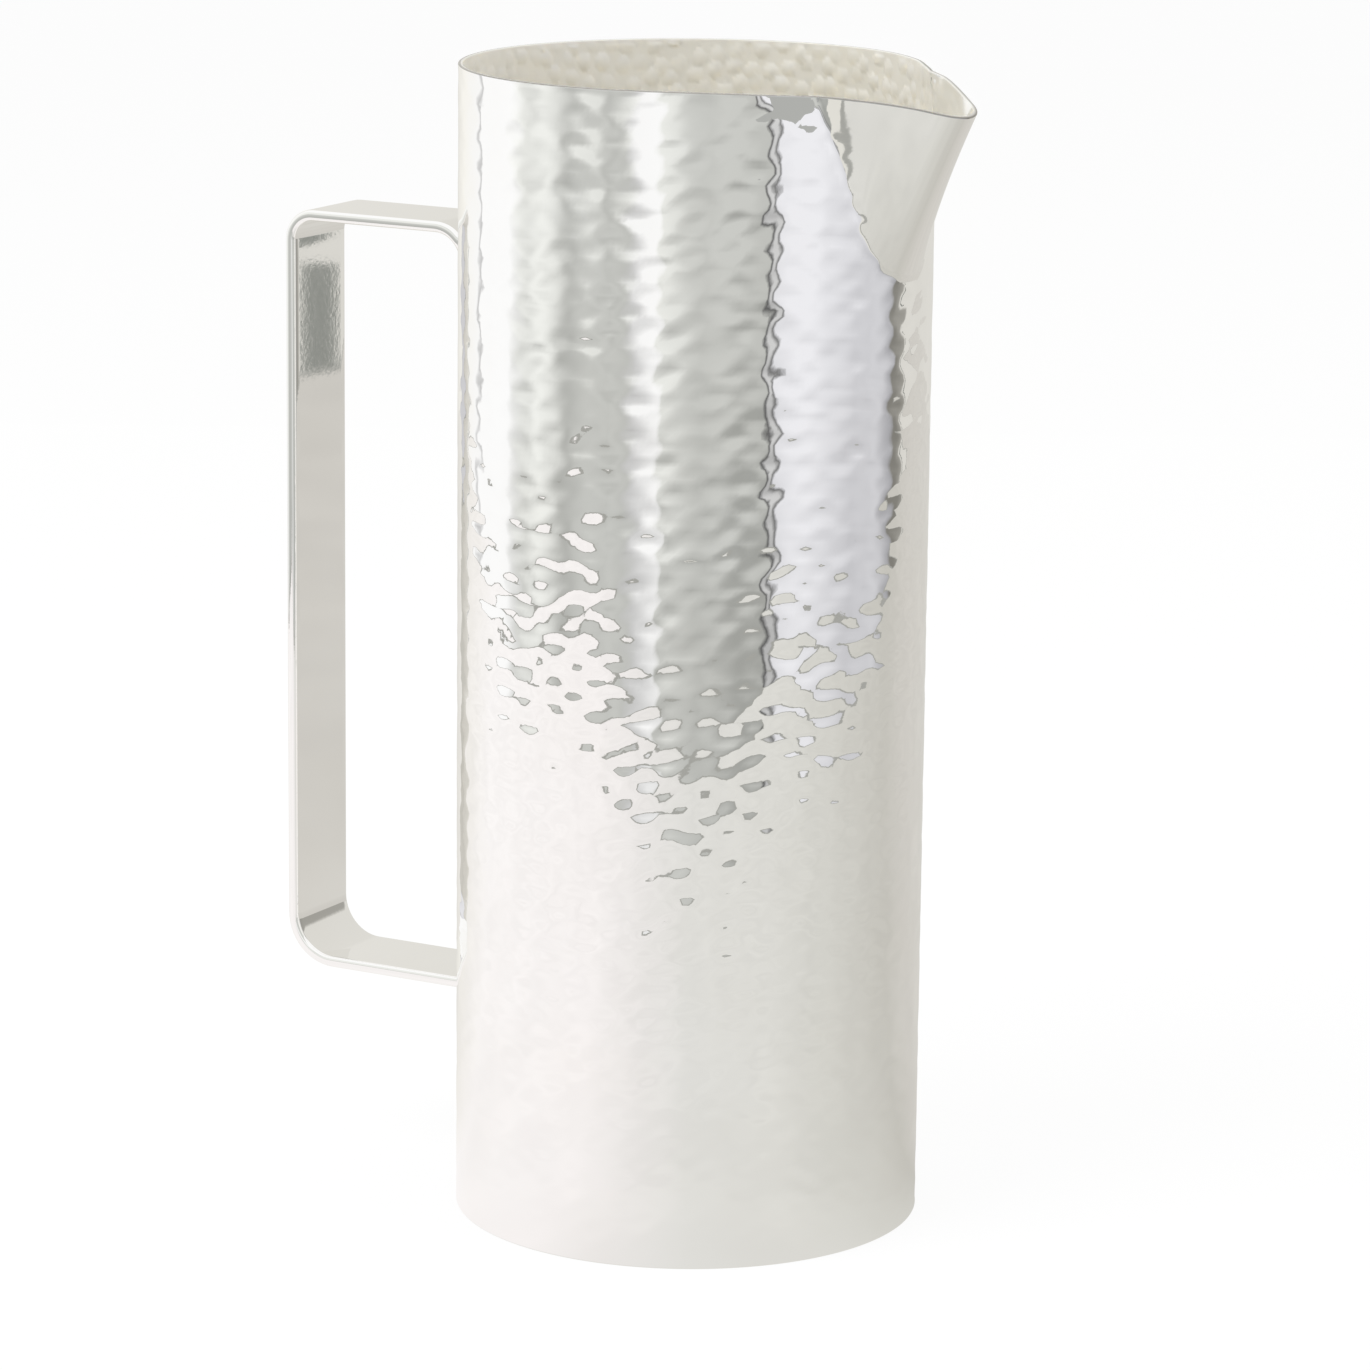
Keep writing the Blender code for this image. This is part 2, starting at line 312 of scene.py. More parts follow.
class HammerMarks:
    """Overlapping marks in courses round the wall, each course half a mark on from the one below it."""

    def __init__(self, columns, row, jitter, radius, slant, strength, softness, seed):
        draw = np.random.default_rng(seed)
        shape = (math.ceil(BODY_HEIGHT / row) + 2 * SPARE_COURSES, columns)
        self.pitch = 2 * math.pi * BODY_RADIUS / columns
        self.row = row
        self.stagger = 0.5 * (np.arange(shape[0]) % 2)
        self.shift_round = draw.uniform(-jitter[0], jitter[0], shape)
        self.shift_up = draw.uniform(-jitter[1], jitter[1], shape)
        self.radius_round = draw.uniform(*radius[0], shape)
        self.radius_up = draw.uniform(*radius[1], shape)
        self.slant = draw.uniform(*slant, shape)
        self.strength = np.clip(draw.uniform(*strength, shape), 0, None)
        self.softness = softness

    def depth(self, turn, height):
        """How far the marks reach in, as a share of a full mark."""
        waves = [size * np.sin(times * turn + start) for size, times, start in COURSE_WAVES]
        level = height + COURSE_DRIFT * sum(waves)
        rows, columns = self.strength.shape
        near_row = np.floor(level / self.row).astype(int)
        place = turn * BODY_RADIUS / self.pitch
        total = np.zeros_like(turn)
        for row in (near_row - 1, near_row, near_row + 1):
            line = np.clip(row + SPARE_COURSES, 0, rows - 1)
            near_column = np.floor(place - self.stagger[line]).astype(int)
            for column in (near_column - 1, near_column, near_column + 1):
                cell = (line, column % columns)
                across = (place - column - 0.5 - self.stagger[line] - self.shift_round[cell]) * self.pitch
                above = level - (row + 0.5 + self.shift_up[cell]) * self.row
                above = above - self.slant[cell] * across
                reach = (across / self.radius_round[cell]) ** 2 + (above / self.radius_up[cell]) ** 2
                total += self.strength[cell] * np.clip(1 - reach, 0, None) ** self.softness
        return total


MARKS = HammerMarks(
    columns=38,
    row=0.00315,
    jitter=(0.17, 0.2),
    radius=((0.0056, 0.0072), (0.0031, 0.0037)),
    slant=(-0.04, 0.06),
    strength=(0.25, 1.0),
    softness=3,
    seed=11,
)
BUMPS = HammerMarks(
    columns=70,
    row=0.0039,
    jitter=(0.24, 0.28),
    radius=((0.0016, 0.0020), (0.0018, 0.0022)),
    slant=(0.0, 0.0),
    strength=(0.3, 1.0),
    softness=1.0,
    seed=5,
)


def sheet_points(turn, climb, inside):
    """Points on one side of the sheet.

    climb runs from -1 to 0 round the foot, from 0 to 1 up the wall and from 1 to 2 round the rim.
    """
    lip = lip_height(turn)
    rim_turn = np.clip(climb - 1, 0, 1) * math.pi / 2
    foot_turn = np.clip(-climb, 0, 1) * math.pi / 2
    height = FOOT_ROUND + np.clip(climb, 0, 1) * (lip - RIM_ROUND - FOOT_ROUND)
    height = height + RIM_ROUND * np.sin(rim_turn) - FOOT_ROUND * np.sin(foot_turn)
    drawn_in = RIM_ROUND * (1 - np.cos(rim_turn)) + FOOT_ROUND * (1 - np.cos(foot_turn))
    smooth = skin(turn, height)
    fade = smooth_step(*SEAM_FADE, seam_distance(smooth)) * smooth_step(0, RIM_FADE, lip - height)
    fade = fade * smooth_step(0, RIM_FADE, height)
    if inside:
        depth = SHEET - drawn_in + fade * BUMP_HEIGHT * BUMPS.depth(turn, height)
    else:
        depth = drawn_in + fade * MARK_DEPTH * MARKS.depth(turn, height)
    return smooth - skin_normal(turn, height) * depth[..., None]


def sheet_normals(turn, climb, inside):
    """Directions that face away from the sheet, at the same points."""
    step_round = NUDGE / BODY_RADIUS
    step_up = NUDGE / BODY_HEIGHT
    along = sheet_points(turn + step_round, climb, inside) - sheet_points(turn - step_round, climb, inside)
    upward = sheet_points(turn, climb + step_up, inside) - sheet_points(turn, climb - step_up, inside)
    away = unit(np.cross(along, upward))
    return -away if inside else away


def on_seam(turn, climb):
    """Distance outside the seam at these places."""
    lip = lip_height(turn)
    return seam_distance(skin(turn, FOOT_ROUND + np.clip(climb, 0, 1) * (lip - RIM_ROUND - FOOT_ROUND)))


def snap_to_seam(turn, climb, wraps):
    """Moves the grid's points that lie nearest to the seam on to it, and gives each point's side."""
    side = on_seam(turn, climb)
    best = np.full(side.shape, np.inf)
    moved_turn = turn.copy()
    moved_climb = climb.copy()
    for axis in (0, 1):
        count = side.shape[axis] if wraps and axis == 1 else side.shape[axis] - 1
        first = np.take(np.arange(side.size).reshape(side.shape), range(count), axis).ravel()
        index = (np.arange(count) + 1) % side.shape[axis]
        second = np.take(np.arange(side.size).reshape(side.shape), index, axis).ravel()
        crossing = side.flat[first] * side.flat[second] < 0
        for start, end in zip(first[crossing], second[crossing]):
            low, high = 0.0, 1.0
            ends = [(turn.flat[start], climb.flat[start]), (turn.flat[end], climb.flat[end])]
            for _ in range(HALVINGS):
                middle = (low + high) / 2
                here = [np.array([a + (b - a) * middle]) for a, b in zip(*ends)]
                if on_seam(*here)[0] * side.flat[start] > 0:
                    low = middle
                else:
                    high = middle
            share = (low + high) / 2
            nearest, far = (start, share) if share < 0.5 else (end, 1 - share)
            if far < best.flat[nearest]:
                best.flat[nearest] = far
                moved_turn.flat[nearest] = ends[0][0] + (ends[1][0] - ends[0][0]) * share
                moved_climb.flat[nearest] = ends[0][1] + (ends[1][1] - ends[0][1]) * share
    side = np.where(np.isfinite(best), 0, np.sign(side))
    return moved_turn, moved_climb, side


def kept_faces(side, keep, wraps):
    """Corner numbers of the grid's faces on one side of the seam."""
    rows, columns = side.shape
    number = np.arange(side.size).reshape(side.shape)
    faces = []
    for row in range(rows - 1):
        for column in range(columns if wraps else columns - 1):
            after = (column + 1) % columns
            spots = [(row, column), (row, after), (row + 1, after), (row + 1, column)]
            corners = [number[spot] for spot in spots if side[spot] * keep >= 0]
            ours = any(side[spot] * keep > 0 for spot in spots)
            if ours and len(corners) >= 3:
                faces.append(corners)
    return faces


def add_side(form, layers, side_of_sheet, keep):
    """Adds one side of a sheet piece to the form, trimmed at the seam."""
    inside, turns, climbs, wraps = side_of_sheet
    facing, lining, rim_foot_shade = layers
    climb, turn = np.meshgrid(climbs, turns, indexing="ij")
    turn, climb, side = snap_to_seam(turn, climb, wraps)
    points = sheet_points(turn, climb, inside).reshape(-1, 3)
    normals = sheet_normals(turn, climb, inside).reshape(-1, 3)
    # Painted shade: a dark line round the outside of the rim, and a fainter painted contact shadow round
    # the foot
    edge = 0 if inside else smooth_step(*RIM_SHADE_CLIMBS, climb) + FOOT_SHADOW_SHARE * smooth_step(*FOOT_SHADOW_CLIMBS, -climb)
    edge = np.broadcast_to(edge, turn.shape).ravel()
    made = {}
    for face in kept_faces(side, keep, wraps):
        for corner in face:
            if corner not in made:
                made[corner] = form.verts.new(points[corner])
                made[corner][facing] = normals[corner]
                made[corner][lining] = float(inside)
                made[corner][rim_foot_shade] = edge[corner]
        form.faces.new([made[corner] for corner in face])


def open_loops(form):
    """The form's open edges as loops of points, from the lowest loop up."""
    after = {}
    for edge in form.edges:
        if edge.is_boundary:
            for vert in edge.verts:
                after.setdefault(vert, []).append(edge.other_vert(vert))
    loops = []
    while after:
        here = next(iter(after))
        loop = []
        while here is not None:
            loop.append(here)
            ways = after.pop(here)
            here = next((way for way in ways if way in after), None)
        loops.append(loop)
    return sorted(loops, key=lambda loop: sum(vert.co.z for vert in loop) / len(loop))


def zip_loops(form, first, second):
    """Joins two closed loops with a strip of triangles."""
    start = min(range(len(second)), key=lambda i: (second[i].co - first[0].co).length)
    second = second[start:] + second[:start]
    if (second[-1].co - first[1].co).length < (second[1].co - first[1].co).length:
        second = second[:1] + second[:0:-1]
    i = j = 0
    while i < len(first) or j < len(second):
        here, next_here = first[i % len(first)], first[(i + 1) % len(first)]
        there, next_there = second[j % len(second)], second[(j + 1) % len(second)]
        shorter = (next_here.co - there.co).length < (here.co - next_there.co).length
        if j == len(second) or (shorter and i < len(first)):
            form.faces.new((here, next_here, there))
            i += 1
        else:
            form.faces.new((here, next_there, there))
            j += 1


def sheet_piece(name, sides, keep):
    """A closed piece of sheet: its sides, joined round their edges."""
    form = bmesh.new()
    facing = form.verts.layers.float_vector.new("facing")
    lining = form.verts.layers.float.new("lining")
    # Weight of the painted dark line of shade at the rim and of the painted contact shadow at the foot
    rim_foot_shade = form.verts.layers.float.new("painted_rim_foot_shade")
    for side in sides:
        add_side(form, (facing, lining, rim_foot_shade), side, keep)
    loops = open_loops(form)
    for first, second in zip(loops[::2], loops[1::2]):
        zip_loops(form, first, second)
    piece = smooth_piece(name, form)
    mesh = piece.data
    normals = np.empty(len(mesh.vertices) * 3, np.float32)
    mesh.attributes["facing"].data.foreach_get("vector", normals)
    mesh.normals_split_custom_set_from_vertices(normals.reshape(-1, 3))
    mesh.attributes.remove(mesh.attributes["facing"])
    return piece


def edge_climbs(start, end):
    """Steps round an edge, without its first point."""
    return [start + (end - start) * (i + 1) / EDGE_STEPS for i in range(EDGE_STEPS)]


def full_turn(columns):
    """Even steps all the way round."""
    return np.arange(columns) * 2 * math.pi / columns - math.pi


def make_wall():
    """The hammered cylinder, with the notch that takes the spout.

    Its lining is finest where the mouth shows it.
    """
    foot = edge_climbs(0, -1)[::-1]
    rim = edge_climbs(1, 2)
    gap = (1 - LINING_FINE_FROM) / LINING_FINE_ROWS
    outside = foot + list(np.linspace(0, 1, WALL_ROWS + 1)) + rim
    deep = foot + list(np.linspace(0, LINING_FINE_FROM - gap, LINING_ROWS + 1))
    fine = list(np.linspace(LINING_FINE_FROM, 1, LINING_FINE_ROWS + 1)) + rim
    sides = (
        (False, full_turn(WALL_COLUMNS), outside, True),
        (True, full_turn(LINING_COLUMNS), deep, True),
        (True, full_turn(2 * LINING_COLUMNS), fine, True),
    )
    return sheet_piece("body_wall_hammered", sides, 1)


def make_spout():
    """The smooth beak."""
    turns = np.linspace(-SPOUT_HALF_SPAN, SPOUT_HALF_SPAN, SPOUT_COLUMNS + 1)
    climbs = list(np.linspace(SPOUT_FROM, 1, SPOUT_ROWS + 1)) + edge_climbs(1, 2)
    return sheet_piece("spout_beak", ((False, turns, climbs, False), (True, turns, climbs, False)), -1)


# Base and handle
def make_base():
    """The bottom disc, turned, with its fillet of solder and a shallow dish underneath."""
    radius = BODY_RADIUS - SHEET
    fillet = [math.pi / 2 * i / EDGE_STEPS for i in range(EDGE_STEPS + 1)]
    profile = [(radius * out, DISC_DISH * deep) for out, deep in DISH_PROFILE]
    profile += [(radius - FOOT_ROUND, 0), (radius, FOOT_ROUND)]
    profile += [
        (
            radius - DISC_FILLET * (1 - math.cos(turn)),
            BASE_THICKNESS + DISC_FILLET * (1 - math.sin(turn)),
        )
        for turn in fillet
    ]
    profile += [(radius * DISC_RING, BASE_THICKNESS), (0, BASE_THICKNESS)]
    form = bmesh.new()
    spots = [form.verts.new((x, 0, z)) for x, z in profile]
    edges = [form.edges.new(pair) for pair in zip(spots, spots[1:])]
    bmesh.ops.spin(
        form,
        geom=spots + edges,
        cent=(0, 0, 0),
        axis=(0, 0, 1),
        angle=2 * math.pi,
        steps=WALL_COLUMNS // 2,
        use_merge=True,
    )
    bmesh.ops.remove_doubles(form, verts=form.verts, dist=NUDGE)
    return smooth_piece("base_disc_turned", form)


def strap_section(half_width, wall_round):
    """Round the bar's section: places across it, and shares of its thickness from the inside face out.

    wall_round is the corner radius on the outside face. Little of it is left where the bar lies on the
    wall.
    """
    across = []
    share = []

    def corner(middle, radius, start):
        for i in range(STRAP_CORNER_STEPS + 1):
            turn = math.radians(start + 90 * i / STRAP_CORNER_STEPS)
            across.append(middle[0] + radius * math.cos(turn))
            share.append((middle[1] + radius * math.sin(turn)) / STRAP_THICKNESS)

    def face(start, end, level):
        for i in range(1, STRAP_FACE_STEPS):
            across.append(start + (end - start) * i / STRAP_FACE_STEPS)
            share.append(level)

    inner = half_width - STRAP_ROUND
    outer = half_width - wall_round
    face(-inner, inner, 0)
    corner((inner, STRAP_ROUND), STRAP_ROUND, -90)
    corner((outer, STRAP_THICKNESS - wall_round), wall_round, 0)
    face(outer, -outer, 1)
    corner((-outer, STRAP_THICKNESS - wall_round), wall_round, 90)
    corner((-inner, STRAP_ROUND), STRAP_ROUND, 180)
    return np.array(across), np.array(share)


def wall_x(across):
    """Where the wall stands, on the handle's side."""
    return -np.sqrt(BODY_RADIUS**2 - across**2)


def strap_ring(start, outward, thickness, half_width=STRAP_WIDTH / 2, wall_round=STRAP_ROUND):
    """One section of the bar. start and thickness may depend on the place across the bar."""
    across, share = strap_section(half_width, wall_round)
    x, z = start(across)
    depth = thickness(across) * share
    return np.stack((x + outward[0] * depth, across, z + outward[1] * depth), axis=-1)


def corner_rings(centre, radius, start, end, steps):
    """Sections round a corner of the bow, without its first."""
    rings = []
    for i in range(1, steps + 1):
        turn = start + (end - start) * i / steps
        outward = (math.cos(turn), math.sin(turn))
        spot = (centre[0] + radius * outward[0], centre[1] + radius * outward[1])
        rings.append(strap_ring(lambda a, s=spot: s, outward, lambda a: STRAP_THICKNESS))
    return rings


def straight_rings(start, end, outward, steps):
    """Sections along a straight stretch of the bow, without its first."""
    rings = []
    for i in range(1, steps + 1):
        spot = tuple(a + (b - a) * i / steps for a, b in zip(start, end))
        rings.append(strap_ring(lambda a, s=spot: s, outward, lambda a: STRAP_THICKNESS))
    return rings


def lower_end_rings(level):
    """The lower arm from the wall outwards, with its fillet of solder."""
    rings = []
    for gap in FILLET_RINGS:
        away = gap * SOLDER_FILLET
        swell = SOLDER_FILLET * (1 - math.sqrt(1 - (1 - min(gap, 1)) ** 2))
        hug = max(1 - gap / FILLET_RINGS[-1], 0)
        ring = strap_ring(
            lambda a, w=away, h=hug: (wall_x(a * h) - w, level), (0, -1), lambda a: STRAP_THICKNESS
        )
        at_side = np.abs(ring[:, 1]) > STRAP_WIDTH / 2 - 2 * STRAP_ROUND
        above_middle = ring[:, 2] - (level - STRAP_THICKNESS / 2)
        ring[:, 1] += np.sign(ring[:, 1]) * np.where(at_side, swell, 0)
        ring[:, 2] += np.sign(above_middle) * swell
        rings.append(ring)
    return rings


def bend_rings(centre, steps):
    """The bend down on to the wall, where solder fills the pocket above it."""
    rings = []
    for i in range(1, steps + 1):
        turn = math.pi / 2 * (1 - i / steps)
        outward = (math.cos(turn), math.sin(turn))
        spot = (centre[0] + TAB_BEND_RADIUS * outward[0], centre[1] + TAB_BEND_RADIUS * outward[1])
        seated = float(smooth_step(*BEND_SEATED, -turn))

        def thickness(across, outward=outward, seated=seated):
            to_wall = (wall_x(across) - centre[0]) / max(outward[0], BEND_LEAST_LEAN) - TAB_BEND_RADIUS
            return STRAP_THICKNESS * (1 - seated) + to_wall * seated

        round_left = STRAP_ROUND * (1 - (1 - TAB_ROUND_LEFT) * seated)
        rings.append(strap_ring(lambda a, s=spot: s, outward, thickness, wall_round=round_left))
    return rings


def tab_rings(top, steps):
    """The tab on the wall, down to its rounded end."""
    rings = []
    levels = [top - (TAB_LENGTH - TAB_CORNER) * (i + 1) / steps for i in range(steps)]
    foot = top - TAB_LENGTH
    turns = [math.pi / 2 * i / TAB_END_STEPS for i in range(1, TAB_END_STEPS + 1)]
    levels += [foot + TAB_CORNER * (1 - math.sin(turn)) for turn in turns]
    for level in levels:
        above = level - foot
        corner_left = max(TAB_CORNER - above, 0)
        half_width = STRAP_WIDTH / 2 - TAB_CORNER + math.sqrt(TAB_CORNER**2 - corner_left**2)
        end_left = max(TAB_END_ROUND - above, 0)
        inset = TAB_END_ROUND - math.sqrt(TAB_END_ROUND**2 - end_left**2)
        face = TAB_FACE + inset
        rings.append(
            strap_ring(
                lambda a, f=face, z=level: (f, z),
                (1, 0),
                lambda a, f=face: wall_x(a) - f,
                half_width=half_width,
                wall_round=STRAP_ROUND * TAB_ROUND_LEFT,
            )
        )
    return rings


def handle_rings():
    """The bar's sections, from its lower end round the bow to the tip of its tab."""
    quarter = math.pi / 2
    inner_low = HANDLE_BOTTOM + STRAP_THICKNESS
    inner_high = HANDLE_TOP - STRAP_THICKNESS
    lower = (GRIP_INSIDE + LOWER_CORNER_RADIUS, inner_low + LOWER_CORNER_RADIUS)
    upper = (GRIP_INSIDE + UPPER_CORNER_RADIUS, inner_high - UPPER_CORNER_RADIUS)
    bend = (TAB_FACE - TAB_BEND_RADIUS, inner_high - TAB_BEND_RADIUS)
    rings = lower_end_rings(inner_low)
    arm_start = (-BODY_RADIUS - FILLET_RINGS[-1] * SOLDER_FILLET, inner_low)
    rings += straight_rings(arm_start, (lower[0], inner_low), (0, -1), ARM_STEPS)
    rings += corner_rings(lower, LOWER_CORNER_RADIUS, 3 * quarter, 2 * quarter, LOWER_CORNER_STEPS)
    rings += straight_rings((GRIP_INSIDE, lower[1]), (GRIP_INSIDE, upper[1]), (-1, 0), GRIP_STEPS)
    rings += corner_rings(upper, UPPER_CORNER_RADIUS, 2 * quarter, quarter, UPPER_CORNER_STEPS)
    rings += straight_rings((upper[0], inner_high), (bend[0], inner_high), (0, 1), ARM_STEPS)
    rings += bend_rings(bend, BEND_STEPS)
    rings += tab_rings(bend[1], TAB_STEPS)
    return rings


def make_handle():
    """The bent bar, as a skin over its sections."""
    form = bmesh.new()
    made = [[form.verts.new(point) for point in ring] for ring in handle_rings()]
    for here, there in zip(made, made[1:]):
        for i in range(len(here)):
            j = (i + 1) % len(here)
            form.faces.new((here[i], here[j], there[j], there[i]))
    form.faces.new(made[0])
    form.faces.new(made[-1])
    bmesh.ops.remove_doubles(form, verts=form.verts, dist=NUDGE / 10)
    handle = smooth_piece("handle_strap", form)
    even = handle.modifiers.new("even_shading", "WEIGHTED_NORMAL")
    even.weight = SHADING_WEIGHT
    return handle


# Materials
# Colour of the painted dark line of shade along the rim and of the painted contact shadow round the foot
RIM_FOOT_SHADE_COLOUR = (0.33, 0.32, 0.30)
SILVER_CLEAN = (0.986, 0.984, 0.978)
SILVER_DULL = (0.972, 0.966, 0.954)
LINING_CLEAN = (0.994, 0.984, 0.955)
LINING_DULL = (0.984, 0.968, 0.920)
FILM_SCALE = 38.0
FILM_DETAIL = 5.0
FILM_SPAN = (0.35, 0.75)
POLISH_SCALE = 900.0
POLISH_DETAIL = 3.0
POLISH_STRENGTH = 0.02
POLISH_HEIGHT = 0.0001
WALL_ROUGHNESS = (0.012, 0.035)
SPOUT_ROUGHNESS = (0.02, 0.05)
BASE_ROUGHNESS = (0.18, 0.3)
HANDLE_ROUGHNESS = (0.015, 0.04)
WALL_SATIN = 0.66
SPOUT_SATIN = 0.12


def noise(nodes, links, place, scale, detail):
    """Noise over those places."""
    made = nodes.new("ShaderNodeTexNoise")
    made.inputs["Scale"].default_value = scale
    made.inputs["Detail"].default_value = detail
    links.new(place, made.inputs["Vector"])
    return made.outputs["Fac"]


def carried(nodes, name):
    """A value that the piece's own points carry."""
    made = nodes.new("ShaderNodeAttribute")
    made.attribute_name = name
    return made.outputs["Fac"]


def between(nodes, links, share, span):
    """A share of 0 to 1 as a number in the span."""
    made = nodes.new("ShaderNodeMapRange")
    made.inputs["To Min"].default_value = span[0]
    made.inputs["To Max"].default_value = span[1]
    links.new(share, made.inputs["Value"])
    return made.outputs["Result"]


def colour_mix(nodes, links, share, first, second):
    """The first colour, and the second where the share is 1. The second may be a plain colour."""
    mix = nodes.new("ShaderNodeMix")
    mix.data_type = "RGBA"
    links.new(share, mix.inputs["Factor"])
    links.new(first, mix.inputs["A"])
    if isinstance(second, tuple):
        mix.inputs["B"].default_value = (*second, 1)
    else:
        links.new(second, mix.inputs["B"])
    return mix.outputs["Result"]


def film_ramp(nodes, links, place, clean, dull):
    """A thin warm film in soft patches over a clean colour."""
    tint = nodes.new("ShaderNodeValToRGB")
    for stop, position, colour in zip(tint.color_ramp.elements, FILM_SPAN, (clean, dull)):
        stop.position = position
        stop.color = (*colour, 1)
    links.new(noise(nodes, links, place, FILM_SCALE, FILM_DETAIL), tint.inputs["Fac"])
    return tint.outputs["Color"]


def satin_lining(nodes, links, gloss, satin):
    """That roughness, and a satin one on the lining."""
    blend = nodes.new("ShaderNodeMix")
    blend.inputs["B"].default_value = satin
    links.new(carried(nodes, "lining"), blend.inputs["Factor"])
    links.new(gloss, blend.inputs["A"])
    return blend.outputs["Result"]


def silver(name, roughness, satin=None, warm_lining=False):
    """Silver with fine polishing marks. A satin lining, if it has one, comes with a painted dark line of
    shade along the rim and a painted contact shadow round the foot.
    """
    made = bpy.data.materials.new(name)
    made.use_nodes = True
    nodes = made.node_tree.nodes
    links = made.node_tree.links
    shader = nodes["Principled BSDF"]
    shader.inputs["Metallic"].default_value = 1.0
    place = nodes.new("ShaderNodeTexCoord").outputs["Object"]
    marks = noise(nodes, links, place, POLISH_SCALE, POLISH_DETAIL)
    gloss = between(nodes, links, marks, roughness)
    colour = film_ramp(nodes, links, place, SILVER_CLEAN, SILVER_DULL)
    if warm_lining:
        warm = film_ramp(nodes, links, place, LINING_CLEAN, LINING_DULL)
        colour = colour_mix(nodes, links, carried(nodes, "lining"), colour, warm)
    if satin is not None:
        gloss = satin_lining(nodes, links, gloss, satin)
        # Painted shade: darkens the rim's edge and the foot where that weight says
        colour = colour_mix(nodes, links, carried(nodes, "painted_rim_foot_shade"), colour, RIM_FOOT_SHADE_COLOUR)
    relief = nodes.new("ShaderNodeBump")
    relief.inputs["Strength"].default_value = POLISH_STRENGTH
    relief.inputs["Distance"].default_value = POLISH_HEIGHT
    links.new(marks, relief.inputs["Height"])
    links.new(colour, shader.inputs["Base Color"])
    links.new(gloss, shader.inputs["Roughness"])
    links.new(relief.outputs["Normal"], shader.inputs["Normal"])
    return made


def hammered_silver():
    """The wall's silver, with its warm satin lining."""
    return silver("hammered_silver", WALL_ROUGHNESS, WALL_SATIN, warm_lining=True)


def smooth_silver():
    """The spout's silver."""
    return silver("smooth_silver", SPOUT_ROUGHNESS, SPOUT_SATIN)


def base_silver():
    """The base's duller silver."""
    return silver("base_silver", BASE_ROUGHNESS)


def polished_strap():
    """The handle's silver."""
    return silver("polished_strap", HANDLE_ROUGHNESS)


# Stage
GREY = (-1, 0, -4)
COOL = (0, 0, 4)
WARM = (2, 0, -6)
PLAIN = (0, 0, 0)

# Each panel's tint, then its bearings in degrees with the tone high up and the tone low down
STUDIO_PANELS = {
    "back wall, left": (WARM, ((-180, 220, 212), (-150, 247, 243))),
    "side wall": (PLAIN, ((-128.3, 252, 247),)),
    "lamp stand": (PLAIN, ((-127.4, 60, 255), (-126.9, 60, 255))),
    "white screen": (PLAIN, ((-126, 255, 252), (-101, 255, 250))),
    "curtain": (GREY, ((-91, 250, 150), (-60, 236, 150), (-42, 224, 136), (-34, 240, 146))),
    "window": (PLAIN, ((-28, 250, 176), (-17.2, 252, 222))),
    "grey screen": (GREY, ((-16.2, 238, 172), (4, 206, 158), (34.4, 203, 153))),
    "screen edge": (PLAIN, ((34.9, 70, 70), (35.1, 70, 70))),
    "gap": (PLAIN, ((35.6, 214, 176), (39, 214, 176))),
    "window frame": (PLAIN, ((39.5, 70, 70), (39.7, 70, 70))),
    "cool screen": (
        COOL,
        ((40.3, 239, 216), (55, 239, 222), (79, 236, 202), (99, 232, 156), (109, 216, 140)),
    ),
    "doorway": (WARM, ((111, 150, 120), (113.5, 150, 120), (118.5, 164, 150))),
    "back wall, right": (WARM, ((119.2, 218, 210), (180, 220, 212))),
}
STUDIO = [
    (bearing, tuple(high + t for t in tint), tuple(low + t for t in tint))
    for tint, stops in STUDIO_PANELS.values()
    for bearing, high, low in stops
]
SURROUND_DISTANCE = 2.2
SURROUND_HIGH = 1.9
SURROUND_STEPS = 180
SHADE_SCALE = 1.6
SHADE_DETAIL = 0.0
SHADE_STRETCH = 1.6
SHADE_SHIFT = 2.3
SHADE_SWING = 1.2
SHADE_FROM = -0.60
SHADE_TO = 0.15

# The table's painted light and shade by bearing, lighter to the left and darker to the right and behind,
# its corners ahead and aside, and its edge
TABLE_LIGHT_AND_SHADE = (
    (-180, (216, 214, 208)),
    (-140, (240, 237, 232)),
    (-110, (252, 249, 248)),
    (-45, (248, 244, 243)),
    (-22, (236, 233, 231)),
    (0, (225, 224, 220)),
    (35, (222, 221, 216)),
    (60, (214, 213, 207)),
    (105, (199, 197, 190)),
    (125, (208, 205, 199)),
    (180, (216, 214, 208)),
)
TABLE_CORNERS = ((0.50, -0.654), (0.50, 0.458), (-0.95, 0.982), (-0.95, -0.654))
TABLE_LEVEL = 0.0002
CLOTH_SCALE = 16.0
CLOTH_DETAIL = 1.0
CLOTH_LIGHT = (0.92, 1.06)
BORDER_SHARES = (0.95, 0.95, 1.0, 1.0)
BORDER_SIDES = ((0, 1), (1, 2), (3, 0))
BORDER_LEVEL = 0.0006
BORDER_TONE = (165, 165, 160)

# Cards, floors and light
CARD_DISTANCE = 2.1
ROOM_FLOOR = -0.55
ROOM_FLOOR_TONE = (226, 224, 217)
OVERHEAD_REACH = 2.2
OVERHEAD_LEVEL = 2.2
OVERHEAD_TONE = (255, 255, 255)
DISC_STEPS = 64
FLOOR_REACH = 6.0
FLOOR_COLOUR = (0.9, 0.9, 0.9, 1)
FLOOR_ROUGHNESS = 0.8
FLOOR_WHITE_SHARE = 0.88
WORLD_LIGHT = 0.8
WORLD_WHITE = 1.0
MIRROR_BOUNCES = 64


def linear(tone):
    """A colour of 0 to 255 as the renderer's linear light."""
    shares = [level / 255 for level in tone]
    return [c / 12.92 if c <= 0.04045 else ((c + 0.055) / 1.055) ** 2.4 for c in shares] + [1]


